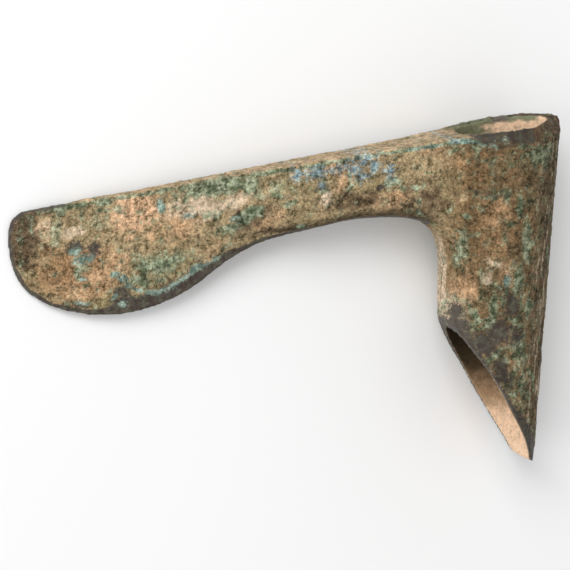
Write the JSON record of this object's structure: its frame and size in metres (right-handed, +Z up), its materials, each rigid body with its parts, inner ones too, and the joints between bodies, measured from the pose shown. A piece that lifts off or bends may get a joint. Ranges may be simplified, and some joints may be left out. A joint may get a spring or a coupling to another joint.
{
  "type": "bronze axe head",
  "caption": "Ancient cast bronze shaft-hole axe head: a tapered tubular socket with an oblique foot, and a long arm that widens into a drop-shaped blade. Lies on its side.",
  "frame": {"origin": "middle of the bounding box's underside, on the surface that the axe head lies on", "axes": "+Z up, +X from the blade towards the socket, +Y along the socket towards its mouth"},
  "size_m": [0.1392, 0.089, 0.0295],
  "materials": {
    "patinated_bronze": "corroded bronze: gritty ochre and brown crust with green and blue mottling, dark bare metal on worn edges"
  },
  "bodies": {
    "root": {"axe_head": "patinated_bronze"}
  },
  "joints": []
}
